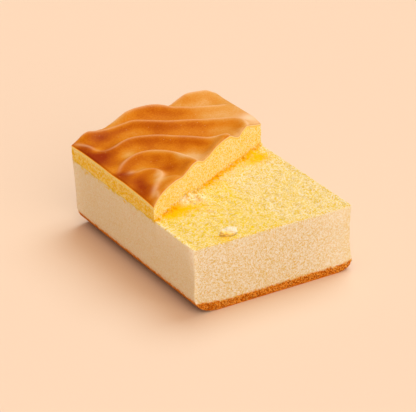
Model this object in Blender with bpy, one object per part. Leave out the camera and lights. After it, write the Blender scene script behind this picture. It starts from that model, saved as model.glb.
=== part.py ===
"""A cut slice of tiger skin cake: a pale sponge slab on a thin browned base, and across its
far half a yellow layer whose browned skin is wrinkled into long ridges.

Metres, +Z up. The cut face shown to the front looks along -Y, and the origin is at the
bottom centre of the whole slice.
"""

import math

import bmesh
import bpy
import numpy as np
from mathutils import Vector, noise

MM = 0.001

# Driving dimensions of the slice, in millimetres.
SLICE_WIDTH = 72.0        # across the front cut face, at its top edge
LEFT_LENGTH = 91.5        # front to back along the left side, at the base
RIGHT_LENGTH = 96.5       # the same along the right side: the back was cut a little askew
BACK_LEAN = 0.11          # the back face leans outwards by this much for each mm of height
SLAB_HEIGHT = 28.2        # pale sponge with its base crust
STEP_LEFT = 29.3          # where the skin layer starts, measured from the front along the left
STEP_RIGHT = 66.2         # the same along the right side
GAP = 0.3                 # between the slab and the layer that lies on it
CRUMB_RELIEF = 0.6        # how deep the torn top of the slab is pitted
CRUMB_SPREAD = 0.21       # pits to the millimetre
CRUMB_FADE = 3.0          # the pits fade out over this much along the slab's edges
STEP_FADE = 2.0           # and over this much before the step

# Side walls of the slab as (height, how far the wall stands inside the slice width).
LEFT_WALL = ((0.0, 10.0), (0.4, 7.4), (1.3, 4.5), (2.5, 2.5), (3.6, 1.4), (5.2, 0.5),
             (7.6, 0.05), (13.5, 0.3), (20.5, 0.2), (28.2, 0.0))
RIGHT_WALL = ((0.0, 6.2), (0.4, 3.6), (1.3, 1.3), (2.5, 0.0), (3.6, -0.5), (5.2, -0.2),
              (7.6, 0.3), (13.5, 0.9), (20.5, 0.8), (28.2, 0.0))

# Thickness of the skin layer along its four edges, as (distance along the edge, thickness).
STEP_RIM = ((0.0, 6.0), (1.3, 7.3), (3.3, 8.8), (6.1, 9.9), (9.5, 10.5), (14.5, 10.9),
            (18.7, 10.4), (21.5, 11.3), (25.5, 12.8), (28.5, 12.8), (32.3, 10.8),
            (36.0, 11.3), (40.5, 12.9), (46.0, 13.6), (50.5, 13.5), (53.6, 11.6),
            (56.5, 10.2), (59.0, 11.7), (62.0, 12.7), (65.6, 11.3), (69.0, 10.0), (72.0, 9.1))
BACK_RIM = ((0.0, 6.1), (2.3, 7.3), (5.0, 9.0), (7.5, 9.6), (11.0, 9.0), (16.0, 9.1),
            (21.0, 10.9), (26.0, 12.8), (31.0, 13.3), (37.0, 12.6), (43.0, 11.2),
            (48.0, 10.2), (52.0, 11.6), (56.0, 12.8), (60.0, 12.6), (66.0, 12.0),
            (69.5, 10.8), (72.0, 9.3))
LEFT_RIM = ((29.0, 6.3), (38.0, 6.8), (52.0, 7.2), (62.0, 6.8), (71.0, 7.0), (86.0, 6.8),
            (96.0, 6.1))
RIGHT_RIM = ((66.0, 9.1), (71.0, 10.2), (83.0, 9.8), (100.0, 9.2))

# Crests of the wrinkles as (across, back from the front face, thickness of the layer there).
# Each runs so that its long, darker slope lies on its right-hand side.
CRESTS = (
    ((48.0, 98.6, 10.4), (52.0, 98.6, 11.6), (56.0, 98.8, 12.7), (61.0, 99.0, 12.4),
     (66.0, 99.2, 11.8), (69.5, 99.5, 10.6)),
    ((20.0, 97.0, 10.8), (26.0, 97.0, 12.7), (32.0, 97.3, 13.0), (38.0, 96.9, 12.5),
     (43.0, 95.3, 12.2), (49.0, 91.8, 12.2), (54.0, 89.0, 12.0), (60.0, 87.4, 11.6),
     (67.0, 86.6, 10.6)),
    ((3.0, 96.0, 8.8), (7.5, 95.4, 9.6), (12.0, 94.4, 9.2), (17.0, 93.6, 9.8),
     (22.0, 92.4, 11.0), (26.5, 90.8, 12.1), (32.0, 87.0, 12.3), (38.0, 82.6, 12.3),
     (45.0, 79.3, 12.3), (52.5, 75.6, 12.2), (58.0, 72.9, 12.4), (62.0, 70.4, 12.6),
     (64.0, 66.5, 12.7), (62.8, 61.0, 12.7)),
    ((0.0, 96.0, 6.4), (1.8, 92.4, 7.9), (3.4, 87.4, 8.3), (4.9, 83.2, 7.4),
     (7.2, 80.4, 7.6), (11.0, 79.3, 8.9), (15.0, 79.3, 10.4), (19.0, 78.6, 11.3),
     (23.5, 76.0, 12.0), (28.5, 72.8, 12.3), (33.0, 68.8, 12.4), (38.0, 64.8, 12.5),
     (42.5, 60.4, 12.6), (47.0, 57.8, 12.8), (51.5, 55.6, 13.3)),
    ((2.5, 61.0, 6.9), (5.6, 64.2, 8.0), (9.2, 65.9, 9.2), (13.5, 66.1, 10.5),
     (18.0, 64.7, 11.3), (22.0, 61.4, 11.8), (25.2, 57.0, 12.1), (27.2, 51.0, 12.5),
     (28.8, 44.0, 12.8)),
    ((3.5, 58.5, 7.0), (7.0, 55.3, 8.4), (10.8, 54.2, 9.3), (13.4, 52.0, 9.8),
     (14.4, 48.5, 9.9), (12.8, 45.0, 9.7), (9.0, 41.2, 9.3), (5.6, 37.2, 8.8),
     (3.4, 32.0, 8.6)),
    ((11.5, 42.4, 9.8), (14.5, 41.2, 10.4), (17.0, 39.4, 10.8), (18.4, 37.8, 10.9)),
)
NEAR_SLOPE = 6.5          # length over which a wrinkle falls on its long side
FAR_SLOPE = 2.8           # the same on its short, steep side
FALL_POWER = 1.35         # how a wrinkle falls away from its crest: 1 pointed, 2 rounded
BEND_BLEND = 0.25         # how softly a crest line takes its bends
CREST_BLEND = 0.35        # how softly one wrinkle runs into the next
RIM_REACH = 4.0           # how far in the rims shape the surface
RIM_SOFTNESS = 1.2        # length to each side over which the rims' corners are averaged away
STEP_SOFTNESS = 0.7       # the same along the step, where the rim is drawn more closely
BACK_THICKNESS = 10.0     # of the layer on average along its back edge

# Thickness of the layer between the wrinkles, and what it gains towards the middle, the right
# side and the step.
VALLEY_LEFT = 6.6
MIDDLE_GAIN, MIDDLE_WIDTH = 1.5, 20.0
RIGHT_GAIN, RIGHT_START, RIGHT_WIDTH = 1.2, 50.0, 18.0
STEP_GAIN, STEP_WIDTH, STEP_DEPTH = 1.6, 12.0, 14.0

SLAB_CELLS = (32, 42)     # across, front to back
LAYER_CELLS = (54, 42)

FLAT_ANGLE = math.radians(0.2)
COLLECTION = "tiger_skin_cake"


def make_material(name, colour, roughness):
    material = bpy.data.materials.new(name)
    material.use_nodes = True
    shader = material.node_tree.nodes["Principled BSDF"]
    shader.inputs["Base Color"].default_value = (*colour, 1.0)
    shader.inputs["Roughness"].default_value = roughness
    shader.inputs["Metallic"].default_value = 0.0
    return material


def softened(profile, at, window=RIM_SOFTNESS):
    """Read a profile of (position, value) pairs with its corners averaged away."""
    positions, values = np.array(profile).T
    steps = np.linspace(-window, window, 7)
    return sum(np.interp(at + step, positions, values) for step in steps) / len(steps)


def smooth_line(points, pieces=8):
    """Carry a rounded line through the given points (Catmull-Rom)."""
    points = np.array(points)
    padded = np.vstack((2 * points[0] - points[1], points, 2 * points[-1] - points[-2]))
    line = []
    for before, start, end, after in zip(padded, padded[1:], padded[2:], padded[3:]):
        for t in np.arange(pieces) / pieces:
            line.append(0.5 * (2 * start + (end - before) * t
                               + (2 * before - 5 * start + 4 * end - after) * t ** 2
                               + (3 * start - before - 3 * end + after) * t ** 3))
    line.append(points[-1])
    return np.array(line)


CREST_LINES = [smooth_line(crest) for crest in CRESTS]


def ease(t):
    t = np.clip(t, 0.0, 1.0)
    return t * t * (3.0 - 2.0 * t)


def valley_thickness(x, y):
    """Thickness of the layer between wrinkles: thin at the left edge, fuller by the step."""
    from_step = y - step_line(x)
    middle = MIDDLE_GAIN * ease(x / MIDDLE_WIDTH)
    right = RIGHT_GAIN * ease((x - RIGHT_START) / RIGHT_WIDTH)
    step = STEP_GAIN * ease(x / STEP_WIDTH) * ease(1.0 - from_step / STEP_DEPTH)
    return VALLEY_LEFT + middle + right + step


def line_offsets(x, y, line):
    """Distance, side and crest thickness for each point against each piece of a line."""
    start, run = line[:-1, None, :], (line[1:] - line[:-1])[:, None, :]
    length = np.hypot(run[..., 0], run[..., 1])
    step_x, step_y = x.ravel()[None, :] - start[..., 0], y.ravel()[None, :] - start[..., 1]
    t = np.clip((step_x * run[..., 0] + step_y * run[..., 1]) / length ** 2, 0.0, 1.0)
    away_x, away_y = step_x - t * run[..., 0], step_y - t * run[..., 1]
    distance = np.hypot(away_x, away_y)
    side = (run[..., 1] * away_x - run[..., 0] * away_y) / (length * np.maximum(distance, 1e-6))
    return distance, side, start[..., 2] + t * run[..., 2]


def wrinkle(x, y, line, valley):
    """How far one wrinkle lifts the skin above the valleys at (x, y)."""
    distance, side, crest = line_offsets(x, y, line)
    nearest = distance.min(axis=0)
    weight = np.exp(-(distance - nearest) / (BEND_BLEND * (1.0 + nearest)))
    weight /= weight.sum(axis=0)
    nearest, side, crest = ((weight * item).sum(axis=0).reshape(x.shape)
                            for item in (distance, side, crest))
    width = FAR_SLOPE + (NEAR_SLOPE - FAR_SLOPE) * (side + 1.0) / 2.0
    return np.maximum(crest - valley, 0.0) * np.exp(-(nearest / width) ** FALL_POWER)


def wrinkled(x, y):
    """Layer thickness from the valleys and the wrinkles alone."""
    valley = valley_thickness(x, y)
    total = np.zeros(x.shape)
    for line in CREST_LINES:
        total += np.exp(wrinkle(x, y, line, valley) / CREST_BLEND) - 1.0
    return valley + CREST_BLEND * np.log1p(total)


def step_line(x):
    return STEP_LEFT + (STEP_RIGHT - STEP_LEFT) * x / SLICE_WIDTH


def back_line(x, z):
    return LEFT_LENGTH + (RIGHT_LENGTH - LEFT_LENGTH) * x / SLICE_WIDTH + BACK_LEAN * z


def near_edge(distance):
    return np.exp(-(np.maximum(distance, 0.0) / RIM_REACH) ** 2)


def with_sides(x, y):
    """The wrinkled surface drawn down to the left and right rims."""
    left = softened(LEFT_RIM, y) - wrinkled(0.0 * x, y)
    right = softened(RIGHT_RIM, y) - wrinkled(0.0 * x + SLICE_WIDTH, y)
    return wrinkled(x, y) + left * near_edge(x) + right * near_edge(SLICE_WIDTH - x)


def layer_thickness(x, y):
    """Thickness of the skin layer at (x, y), in millimetres."""
    front = step_line(x)
    back = back_line(x, SLAB_HEIGHT + BACK_THICKNESS)
    at_front = softened(STEP_RIM, x, STEP_SOFTNESS) - with_sides(x, front)
    at_back = softened(BACK_RIM, x) - with_sides(x, back)
    return with_sides(x, y) + at_front * near_edge(y - front) + at_back * near_edge(back - y)


def pitted(x, y):
    """Depth of the torn crumb on the slab's bare top, fading out at its edges."""
    places = zip(x * CRUMB_SPREAD, y * CRUMB_SPREAD)
    torn = np.array([noise.fractal(Vector((*place, 0.0)), 0.9, 2.0, 2) for place in places])
    bare = ease((step_line(x) - y) / STEP_FADE) * ease(y / CRUMB_FADE)
    inside = ease(x / CRUMB_FADE) * ease((SLICE_WIDTH - x) / CRUMB_FADE)
    return CRUMB_RELIEF * bare * inside * ease(0.5 + torn)


def gridded_block(cells, levels):
    """A box of unit size, its origin at one lower corner, cut into a grid and into levels."""
    block = bmesh.new()
    bmesh.ops.create_cube(block, size=1.0)
    bmesh.ops.translate(block, verts=block.verts, vec=(0.5, 0.5, 0.5))
    cuts = [np.arange(1, count) / count for count in cells] + [levels]
    for normal, places in zip(np.eye(3), cuts):
        for place in places:
            everything = list(block.verts) + list(block.edges) + list(block.faces)
            bmesh.ops.bisect_plane(block, geom=everything, plane_co=normal * place,
                                   plane_no=normal)
    return block


def finish_object(name, block, material):
    """Join what lies flat into single faces and make the object, in metres."""
    bmesh.ops.dissolve_limit(block, angle_limit=FLAT_ANGLE, verts=block.verts, edges=block.edges)
    bmesh.ops.scale(block, verts=block.verts, vec=(MM, MM, MM))
    bmesh.ops.recalc_face_normals(block, faces=block.faces)
    mesh = bpy.data.meshes.new(name)
    block.to_mesh(mesh)
    block.free()
    mesh.materials.append(material)
    part = bpy.data.objects.new(name, mesh)
    bpy.data.collections[COLLECTION].objects.link(part)
    return part


def make_slab():
    """The pale sponge: rounded lower edges, slightly hollow sides and a torn top."""
    levels = [height / SLAB_HEIGHT for height, _ in LEFT_WALL[1:-1]]
    block = gridded_block(SLAB_CELLS, levels)
    across, share, level = np.array([vert.co for vert in block.verts]).T
    z = SLAB_HEIGHT * level
    left = np.interp(z, *np.array(LEFT_WALL).T)
    right = SLICE_WIDTH - np.interp(z, *np.array(RIGHT_WALL).T)
    x = left + (right - left) * across
    y = back_line(x, z) * share
    z = z - np.where(level > 0.999, pitted(x, y), 0.0)
    for vert, place in zip(block.verts, np.column_stack((x, y, z))):
        vert.co = place
    sponge = make_material("Pale sponge", (0.85, 0.60, 0.34), 0.9)
    return finish_object("sponge_slab", block, sponge)


def make_skin_layer():
    """The yellow layer: straight cut walls under a wrinkled, browned top."""
    block = gridded_block(LAYER_CELLS, [])
    across, share, level = np.array([vert.co for vert in block.verts]).T
    x = SLICE_WIDTH * across
    front = step_line(x)
    y = front + share * (back_line(x, SLAB_HEIGHT + BACK_THICKNESS) - front)
    z = SLAB_HEIGHT + np.where(level > 0.5, layer_thickness(x, y), GAP)
    y = front + share * (back_line(x, z) - front)
    for vert, place in zip(block.verts, np.column_stack((x, y, z))):
        vert.co = place
    skin = make_material("Browned skin", (0.60, 0.20, 0.03), 0.55)
    return finish_object("tiger_skin", block, skin)


def centre_on_floor(parts):
    """Move the origin to the bottom centre of the whole slice."""
    points = np.array([vert.co for part in parts for vert in part.data.vertices])
    low, high = points.min(axis=0), points.max(axis=0)
    for part in parts:
        for vert in part.data.vertices:
            vert.co.x -= (low[0] + high[0]) / 2.0
            vert.co.y -= (low[1] + high[1]) / 2.0
            vert.co.z -= low[2]


def main():
    for item in list(bpy.data.objects):
        bpy.data.objects.remove(item, do_unlink=True)
    bpy.context.scene.collection.children.link(bpy.data.collections.new(COLLECTION))
    centre_on_floor((make_slab(), make_skin_layer()))


main()
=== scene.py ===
import math

import bmesh
import bpy
import numpy as np
from mathutils import Matrix, Vector, noise


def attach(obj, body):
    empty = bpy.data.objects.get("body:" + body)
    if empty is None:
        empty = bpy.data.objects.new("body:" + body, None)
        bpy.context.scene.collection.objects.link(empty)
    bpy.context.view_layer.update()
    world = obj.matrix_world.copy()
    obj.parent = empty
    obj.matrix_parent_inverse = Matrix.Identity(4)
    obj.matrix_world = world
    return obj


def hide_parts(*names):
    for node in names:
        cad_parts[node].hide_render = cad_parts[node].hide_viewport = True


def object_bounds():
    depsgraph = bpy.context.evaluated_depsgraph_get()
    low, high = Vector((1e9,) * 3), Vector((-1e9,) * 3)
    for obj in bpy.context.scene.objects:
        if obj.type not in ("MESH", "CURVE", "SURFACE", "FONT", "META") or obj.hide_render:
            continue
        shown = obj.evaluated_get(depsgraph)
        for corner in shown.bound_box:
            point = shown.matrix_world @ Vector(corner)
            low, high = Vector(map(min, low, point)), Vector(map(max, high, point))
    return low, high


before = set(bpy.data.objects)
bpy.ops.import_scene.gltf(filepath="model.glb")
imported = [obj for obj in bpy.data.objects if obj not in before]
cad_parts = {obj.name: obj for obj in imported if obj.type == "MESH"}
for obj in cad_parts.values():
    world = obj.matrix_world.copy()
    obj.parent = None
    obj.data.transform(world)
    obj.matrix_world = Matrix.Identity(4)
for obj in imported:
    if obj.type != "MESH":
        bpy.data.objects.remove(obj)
cadLow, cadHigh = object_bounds()
mm = 0.001

# A cut slice of tiger skin cake. Lengths are in millimetres from the slice's front left corner:
# x to the right across the cut front, y towards the back, z up.
cake = {
    "width": 72.0,            # across the front cut face
    "leftLength": 91.5,       # front to back at the base
    "rightLength": 96.5,
    "backLean": 0.11,         # how far the back leans out for each mm of height
    "slabHeight": 28.2,
    "stepLeft": 29.3,         # where the skin layer starts along the left side
    "stepRight": 66.2,
}


def ease(t):
    t = np.clip(t, 0.0, 1.0)
    return t * t * (3.0 - 2.0 * t)


def hump(distance, width):
    return np.exp(-(distance / width) ** 2)


def stepLine(x):
    return cake["stepLeft"] + (cake["stepRight"] - cake["stepLeft"]) * x / cake["width"]


def backLine(x, z):
    askew = (cake["rightLength"] - cake["leftLength"]) * x / cake["width"]
    return cake["leftLength"] + askew + cake["backLean"] * z


def profileAt(profile, at):
    positions, values = np.array(profile).T
    return np.interp(at, positions, values)


def softProfileAt(profile, at, window=1.2):
    steps = np.linspace(-window, window, 7)
    return sum(profileAt(profile, at + step) for step in steps) / len(steps)


def blotches(points, size, seed=0.0):
    # slow noise, about -1 to 1, in blotches this many millimetres wide
    return np.array([noise.noise(Vector(point) / size + Vector((seed, 0.0, seed)))
                     for point in points])


def blotchesOn(chosen, points, size, seed=0.0):
    # the same on the chosen points, and nothing on the others
    field = np.zeros(len(points))
    field[chosen] = blotches(points[chosen], size, seed)
    return field


def spotsAt(places, x, y):
    # what each round spot, listed as (x, y, radius, amount), adds at these points
    return [amount * hump(np.hypot(x - spotX, y - spotY), radius)
            for spotX, spotY, radius, amount in places]


def addObject(name, data):
    added = bpy.data.objects.new(name, data)
    bpy.context.scene.collection.objects.link(added)
    return added


def meshFrom(edit, name):
    mesh = bpy.data.meshes.new(name)
    edit.to_mesh(mesh)
    edit.free()
    return mesh


def wrappedBlock(columns, rows, levels):
    # a grid of columns by rows with walls down from it, open at the foot.
    # for each point: its share of the way across, its share of the way back, its level down
    top = np.arange((columns + 1) * (rows + 1)).reshape(columns + 1, rows + 1)
    rim = np.concatenate((top[:-1, 0], top[-1, :-1], top[:0:-1, -1], top[0, :0:-1]))
    across, back = np.divmod(np.arange(top.size), rows + 1)
    places = [np.column_stack((across / columns, back / rows, np.zeros(top.size)))]
    rings = [rim]
    for level in range(1, levels + 1):
        places.append(np.column_stack((places[0][rim, :2], np.full(len(rim), level))))
        rings.append(top.size + (level - 1) * len(rim) + np.arange(len(rim)))
    lid = np.stack((top[:-1, :-1], top[1:, :-1], top[1:, 1:], top[:-1, 1:]), axis=-1)
    walls = [np.column_stack((upper, lower, np.roll(lower, -1), np.roll(upper, -1)))
             for upper, lower in zip(rings, rings[1:])]
    return np.vstack(places), lid, np.vstack(walls), rim


def makeMesh(name, points, faces, fields):
    # points in millimetres, one number field for each point; open loops are closed over
    mesh = bpy.data.meshes.new(name)
    mesh.from_pydata(points * mm + np.array((cadLow.x, cadLow.y, 0.0)), [], faces.tolist())
    for field, values in fields.items():
        attribute = mesh.attributes.new(field, "FLOAT", "POINT")
        attribute.data.foreach_set("value", values.astype(np.float32))
    edit = bmesh.new()
    edit.from_mesh(mesh)
    bmesh.ops.delete(edit, geom=[v for v in edit.verts if not v.link_faces], context="VERTS")
    for face in edit.faces:
        face.smooth = True
    openEdges = [edge for edge in edit.edges if edge.is_boundary]
    for edge in openEdges:
        edge.smooth = False
    bmesh.ops.holes_fill(edit, edges=openEdges, sides=0)
    bmesh.ops.recalc_face_normals(edit, faces=edit.faces)
    edit.to_mesh(mesh)
    edit.free()
    return addObject(name, mesh)


# settings that many nodes share
multiply, multiplyAdd = {"operation": "MULTIPLY"}, {"operation": "MULTIPLY_ADD"}
colourMix, smoothStep = {"data_type": "RGBA"}, {"interpolation_type": "SMOOTHSTEP"}


def setInputs(tree, node, inputs):
    for socket, value in inputs.items():
        if isinstance(value, bpy.types.NodeSocket):
            tree.links.new(value, node.inputs[socket])
        else:
            node.inputs[socket].default_value = value


def addNode(tree, kind, settings=None, inputs=None, output=0):
    # a new node with its settings and links, handed back as the output to link on from
    node = tree.nodes.new(kind)
    for name, value in (settings or {}).items():
        setattr(node, name, value)
    setInputs(tree, node, inputs or {})
    return node.outputs[output] if node.outputs else node


def newNodeTree(name, sockets):
    # a Geometry Nodes tree with a geometry going in and out, and these named inputs
    tree = bpy.data.node_groups.new(name, "GeometryNodeTree")
    tree.interface.new_socket("Geometry", in_out="INPUT", socket_type="NodeSocketGeometry")
    for socket, kind in sockets.items():
        tree.interface.new_socket(socket, in_out="INPUT", socket_type="NodeSocket" + kind)
    tree.interface.new_socket("Geometry", in_out="OUTPUT", socket_type="NodeSocketGeometry")
    return tree, tree.nodes.new("NodeGroupInput").outputs


def runNodeTree(owner, tree, values):
    # the tree's result as a plain mesh on its owner
    modifier = owner.modifiers.new(tree.name, "NODES")
    modifier.node_group = tree
    for socket in tree.interface.items_tree:
        if socket.in_out == "INPUT" and socket.name in values:
            modifier[socket.identifier] = values[socket.name]
    depsgraph = bpy.context.evaluated_depsgraph_get()
    depsgraph.update()
    result = bpy.data.meshes.new_from_object(owner.evaluated_get(depsgraph),
                                             preserve_all_data_layers=True,
                                             depsgraph=depsgraph)
    owner.modifiers.remove(modifier)
    result.name = owner.name
    owner.data = result
    return owner


# pattern values at which a gap, and a crag, starts to sink and is at its deepest
reliefRanges = {"gap": (0.3, 0.8), "crag": (0.6, 0.36)}


def crumbReliefTree():
    # open crumb: rounded grains all over and longer torn crags where the mesh says so
    tree, given = newNodeTree("crumbRelief", {
        "Grain Spacing": "Float", "Gap Depth": "Float", "Crag Width": "Float",
        "Crag Depth": "Float", "Crag Stretch": "Float", "Crumb": "Material",
        "Skin": "Material"})
    place = addNode(tree, "GeometryNodeInputPosition")
    openness, torn, isSkin = (
        addNode(tree, "GeometryNodeInputNamedAttribute", None, {"Name": name})
        for name in ("openness", "torn", "isSkin"))
    perGrain, perCrag = (
        addNode(tree, "ShaderNodeMath", {"operation": "DIVIDE"}, {0: 1.0, 1: given[size]})
        for size in ("Grain Spacing", "Crag Width"))
    cells = addNode(tree, "ShaderNodeTexVoronoi", None, {"Vector": place, "Scale": perGrain})
    # crags run front to back: the pattern is stretched along y
    squeezed = addNode(tree, "ShaderNodeMath", {"operation": "DIVIDE"},
                       {0: perCrag, 1: given["Crag Stretch"]})
    scale = addNode(tree, "ShaderNodeCombineXYZ", None, {0: perCrag, 1: squeezed, 2: perCrag})
    stretched = addNode(tree, "ShaderNodeVectorMath", multiply, {0: place, 1: scale})
    crags = addNode(tree, "ShaderNodeTexNoise", None,
                    {"Vector": stretched, "Scale": 1.0, "Detail": 2.0, "Roughness": 0.55})
    depths = []
    for pattern, kind, share in ((cells, "gap", openness), (crags, "crag", torn)):
        starts, deepest = reliefRanges[kind]
        sunk = addNode(tree, "ShaderNodeMapRange", smoothStep, {0: pattern, 1: starts, 2: deepest})
        depths.append(addNode(tree, "ShaderNodeMath", multiply, {0: sunk, 1: share}))
    gapDeep, cragDeep = depths
    gapCut = addNode(tree, "ShaderNodeMath", multiply, {0: gapDeep, 1: given["Gap Depth"]})
    cut = addNode(tree, "ShaderNodeMath", multiplyAdd,
                  {0: cragDeep, 1: given["Crag Depth"], 2: gapCut})
    inward = addNode(tree, "ShaderNodeMath", multiply, {0: cut, 1: -1.0})
    normal = addNode(tree, "GeometryNodeInputNormal")
    offset = addNode(tree, "ShaderNodeVectorMath", {"operation": "SCALE"},
                     {0: normal, "Scale": inward})
    noted = addNode(tree, "GeometryNodeStoreNamedAttribute", None,
                    {"Geometry": given["Geometry"], "Name": "hollow", "Value": cragDeep})
    moved = addNode(tree, "GeometryNodeSetPosition", None, {"Geometry": noted, "Offset": offset})
    whole = addNode(tree, "GeometryNodeRealizeInstances", None, {0: moved})
    crumby = addNode(tree, "GeometryNodeSetMaterial", None,
                     {"Geometry": whole, "Material": given["Crumb"]})
    onSkin = addNode(tree, "ShaderNodeMath", {"operation": "GREATER_THAN"}, {0: isSkin, 1: 0.9})
    skinned = addNode(tree, "GeometryNodeSetMaterial", None,
                      {"Geometry": crumby, "Selection": onSkin, "Material": given["Skin"]})
    addNode(tree, "NodeGroupOutput", None, {0: skinned})
    return tree


looseShape = {
    "knobScale": 1.7,         # knobs across a crumb
    "knobs": (0.55, 1.2),     # how far its surface lies from its middle
    "across": 0.75,           # its width for its length
    "tilt": 0.3,              # radians to each side
    "turn": 6.28,
}


def crumbScatterTree():
    # loose crumbs on a surface, thickest where its named field is high
    tree, given = newNodeTree("crumbScatter", {
        "Field": "String", "Per Square Metre": "Float", "Smallest": "Float",
        "Largest": "Float", "Flatness": "Float", "Seed": "Int", "Crumb": "Material"})
    field = addNode(tree, "GeometryNodeInputNamedAttribute", None, {"Name": given["Field"]})
    density = addNode(tree, "ShaderNodeMath", multiply, {0: field, 1: given["Per Square Metre"]})
    strewn = addNode(tree, "GeometryNodeDistributePointsOnFaces",
                     None, {"Mesh": given["Geometry"], "Density": density, "Seed": given["Seed"]})
    cube = addNode(tree, "GeometryNodeMeshCube", None,
                   {"Size": (1.0, 1.0, 1.0), "Vertices X": 3, "Vertices Y": 3, "Vertices Z": 3})
    corner = addNode(tree, "GeometryNodeInputPosition")
    ball = addNode(tree, "ShaderNodeVectorMath", {"operation": "NORMALIZE"}, {0: corner})
    knobs = addNode(tree, "ShaderNodeTexNoise", None,
                    {"Vector": corner, "Scale": looseShape["knobScale"], "Detail": 2.0})
    nearest, farthest = looseShape["knobs"]
    reach = addNode(tree, "ShaderNodeMapRange", None,
                    {0: knobs, 1: 0.3, 2: 0.7, 3: nearest, 4: farthest})
    lump = addNode(tree, "ShaderNodeVectorMath", {"operation": "SCALE"}, {0: ball, "Scale": reach})
    squash = addNode(tree, "ShaderNodeCombineXYZ", None,
                     {0: 1.0, 1: looseShape["across"], 2: given["Flatness"]})
    flat = addNode(tree, "ShaderNodeVectorMath", multiply, {0: lump, 1: squash})
    crumb = addNode(tree, "GeometryNodeSetPosition", None, {"Geometry": cube, "Position": flat})
    tilt = looseShape["tilt"]
    turn = addNode(tree, "FunctionNodeRandomValue", {"data_type": "FLOAT_VECTOR"},
                   {0: (-tilt, -tilt, 0.0), 1: (tilt, tilt, looseShape["turn"]),
                    "Seed": given["Seed"]})
    size = addNode(tree, "FunctionNodeRandomValue", None,
                   {2: given["Smallest"], 3: given["Largest"], "Seed": given["Seed"]}, 1)
    placed = addNode(tree, "GeometryNodeInstanceOnPoints", None,
                     {"Points": strewn, "Instance": crumb, "Rotation": turn, "Scale": size})
    whole = addNode(tree, "GeometryNodeRealizeInstances", None, {0: placed})
    smooth = addNode(tree, "GeometryNodeSetShadeSmooth", None, {"Geometry": whole})
    done = addNode(tree, "GeometryNodeSetMaterial", None,
                   {"Geometry": smooth, "Material": given["Crumb"]})
    addNode(tree, "NodeGroupOutput", None, {0: done})
    return tree


def linear(hexColour):
    channels = [int(hexColour[at:at + 2], 16) / 255 for at in (1, 3, 5)]
    return [c / 12.92 if c <= 0.04045 else ((c + 0.055) / 1.055) ** 2.4 for c in channels] + [1.0]


def newMaterial(name, fields=()):
    # a material, its tree and shader, the place on the piece and the piece's named fields
    material = bpy.data.materials.new(name)
    material.use_nodes = True
    tree = material.node_tree
    place = addNode(tree, "ShaderNodeTexCoord", output="Object")
    values = [addNode(tree, "ShaderNodeAttribute", {"attribute_name": field}, output="Fac")
              for field in fields]
    return material, tree, tree.nodes["Principled BSDF"], place, values


crumbFinish = {
    # colours from the bottom of a gap, over the plain crumb, to a raised crumb
    "cream": ("#D6BC68", "#DFDAC8", "#E8E8E2"),
    "yellow": ("#DCBC00", "#DDC43A", "#E4D6B0"),
    "yolkRich": ("#F2CC00", "#F4E58C", "#F8F0D2"),
    "crust": ("#8E3C00", "#C86C00", "#E4A648"),
    "scorched": "#701C00",    # the crust low on the long side
    "driedAndLit": "#FAF8E8",       # paler crumb along the cut edges and in heaps: partly dried out, partly painted light where edges and the front's right catch the light
    "moistAndShade": "#E8BA00",       # deep yellow where the crumb is damp, and painted shade at the step's foot and under heaped crumbs
    # painted shade: deep yellow in the shaded creases at the step's foot and between heaped shreds
    "creviceShade": "#F4B400",
    "grainSpacing": 0.36,     # mm from one grain of the torn foam to the next
    "grainContrast": 2.3,
    "plainTone": 0.55,        # of the plain crumb, from 0 in a gap to 1 on a raised crumb
    "crustFrays": (0.35, 0.65),    # between these the crust's edge gives way to crumb
    "roughness": 0.9,
    "soak": 0.5,
    "soakDepth": 0.5,         # mm that light goes into the crumb
}


# airy crumb: hardly any shine, and light soaks a little way into it
airy = {"Specular IOR Level": 0.05, "Subsurface Weight": crumbFinish["soak"],
        "Subsurface Radius": (1.0, 1.0, 1.0), "Subsurface Scale": crumbFinish["soakDepth"] * mm}


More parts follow.
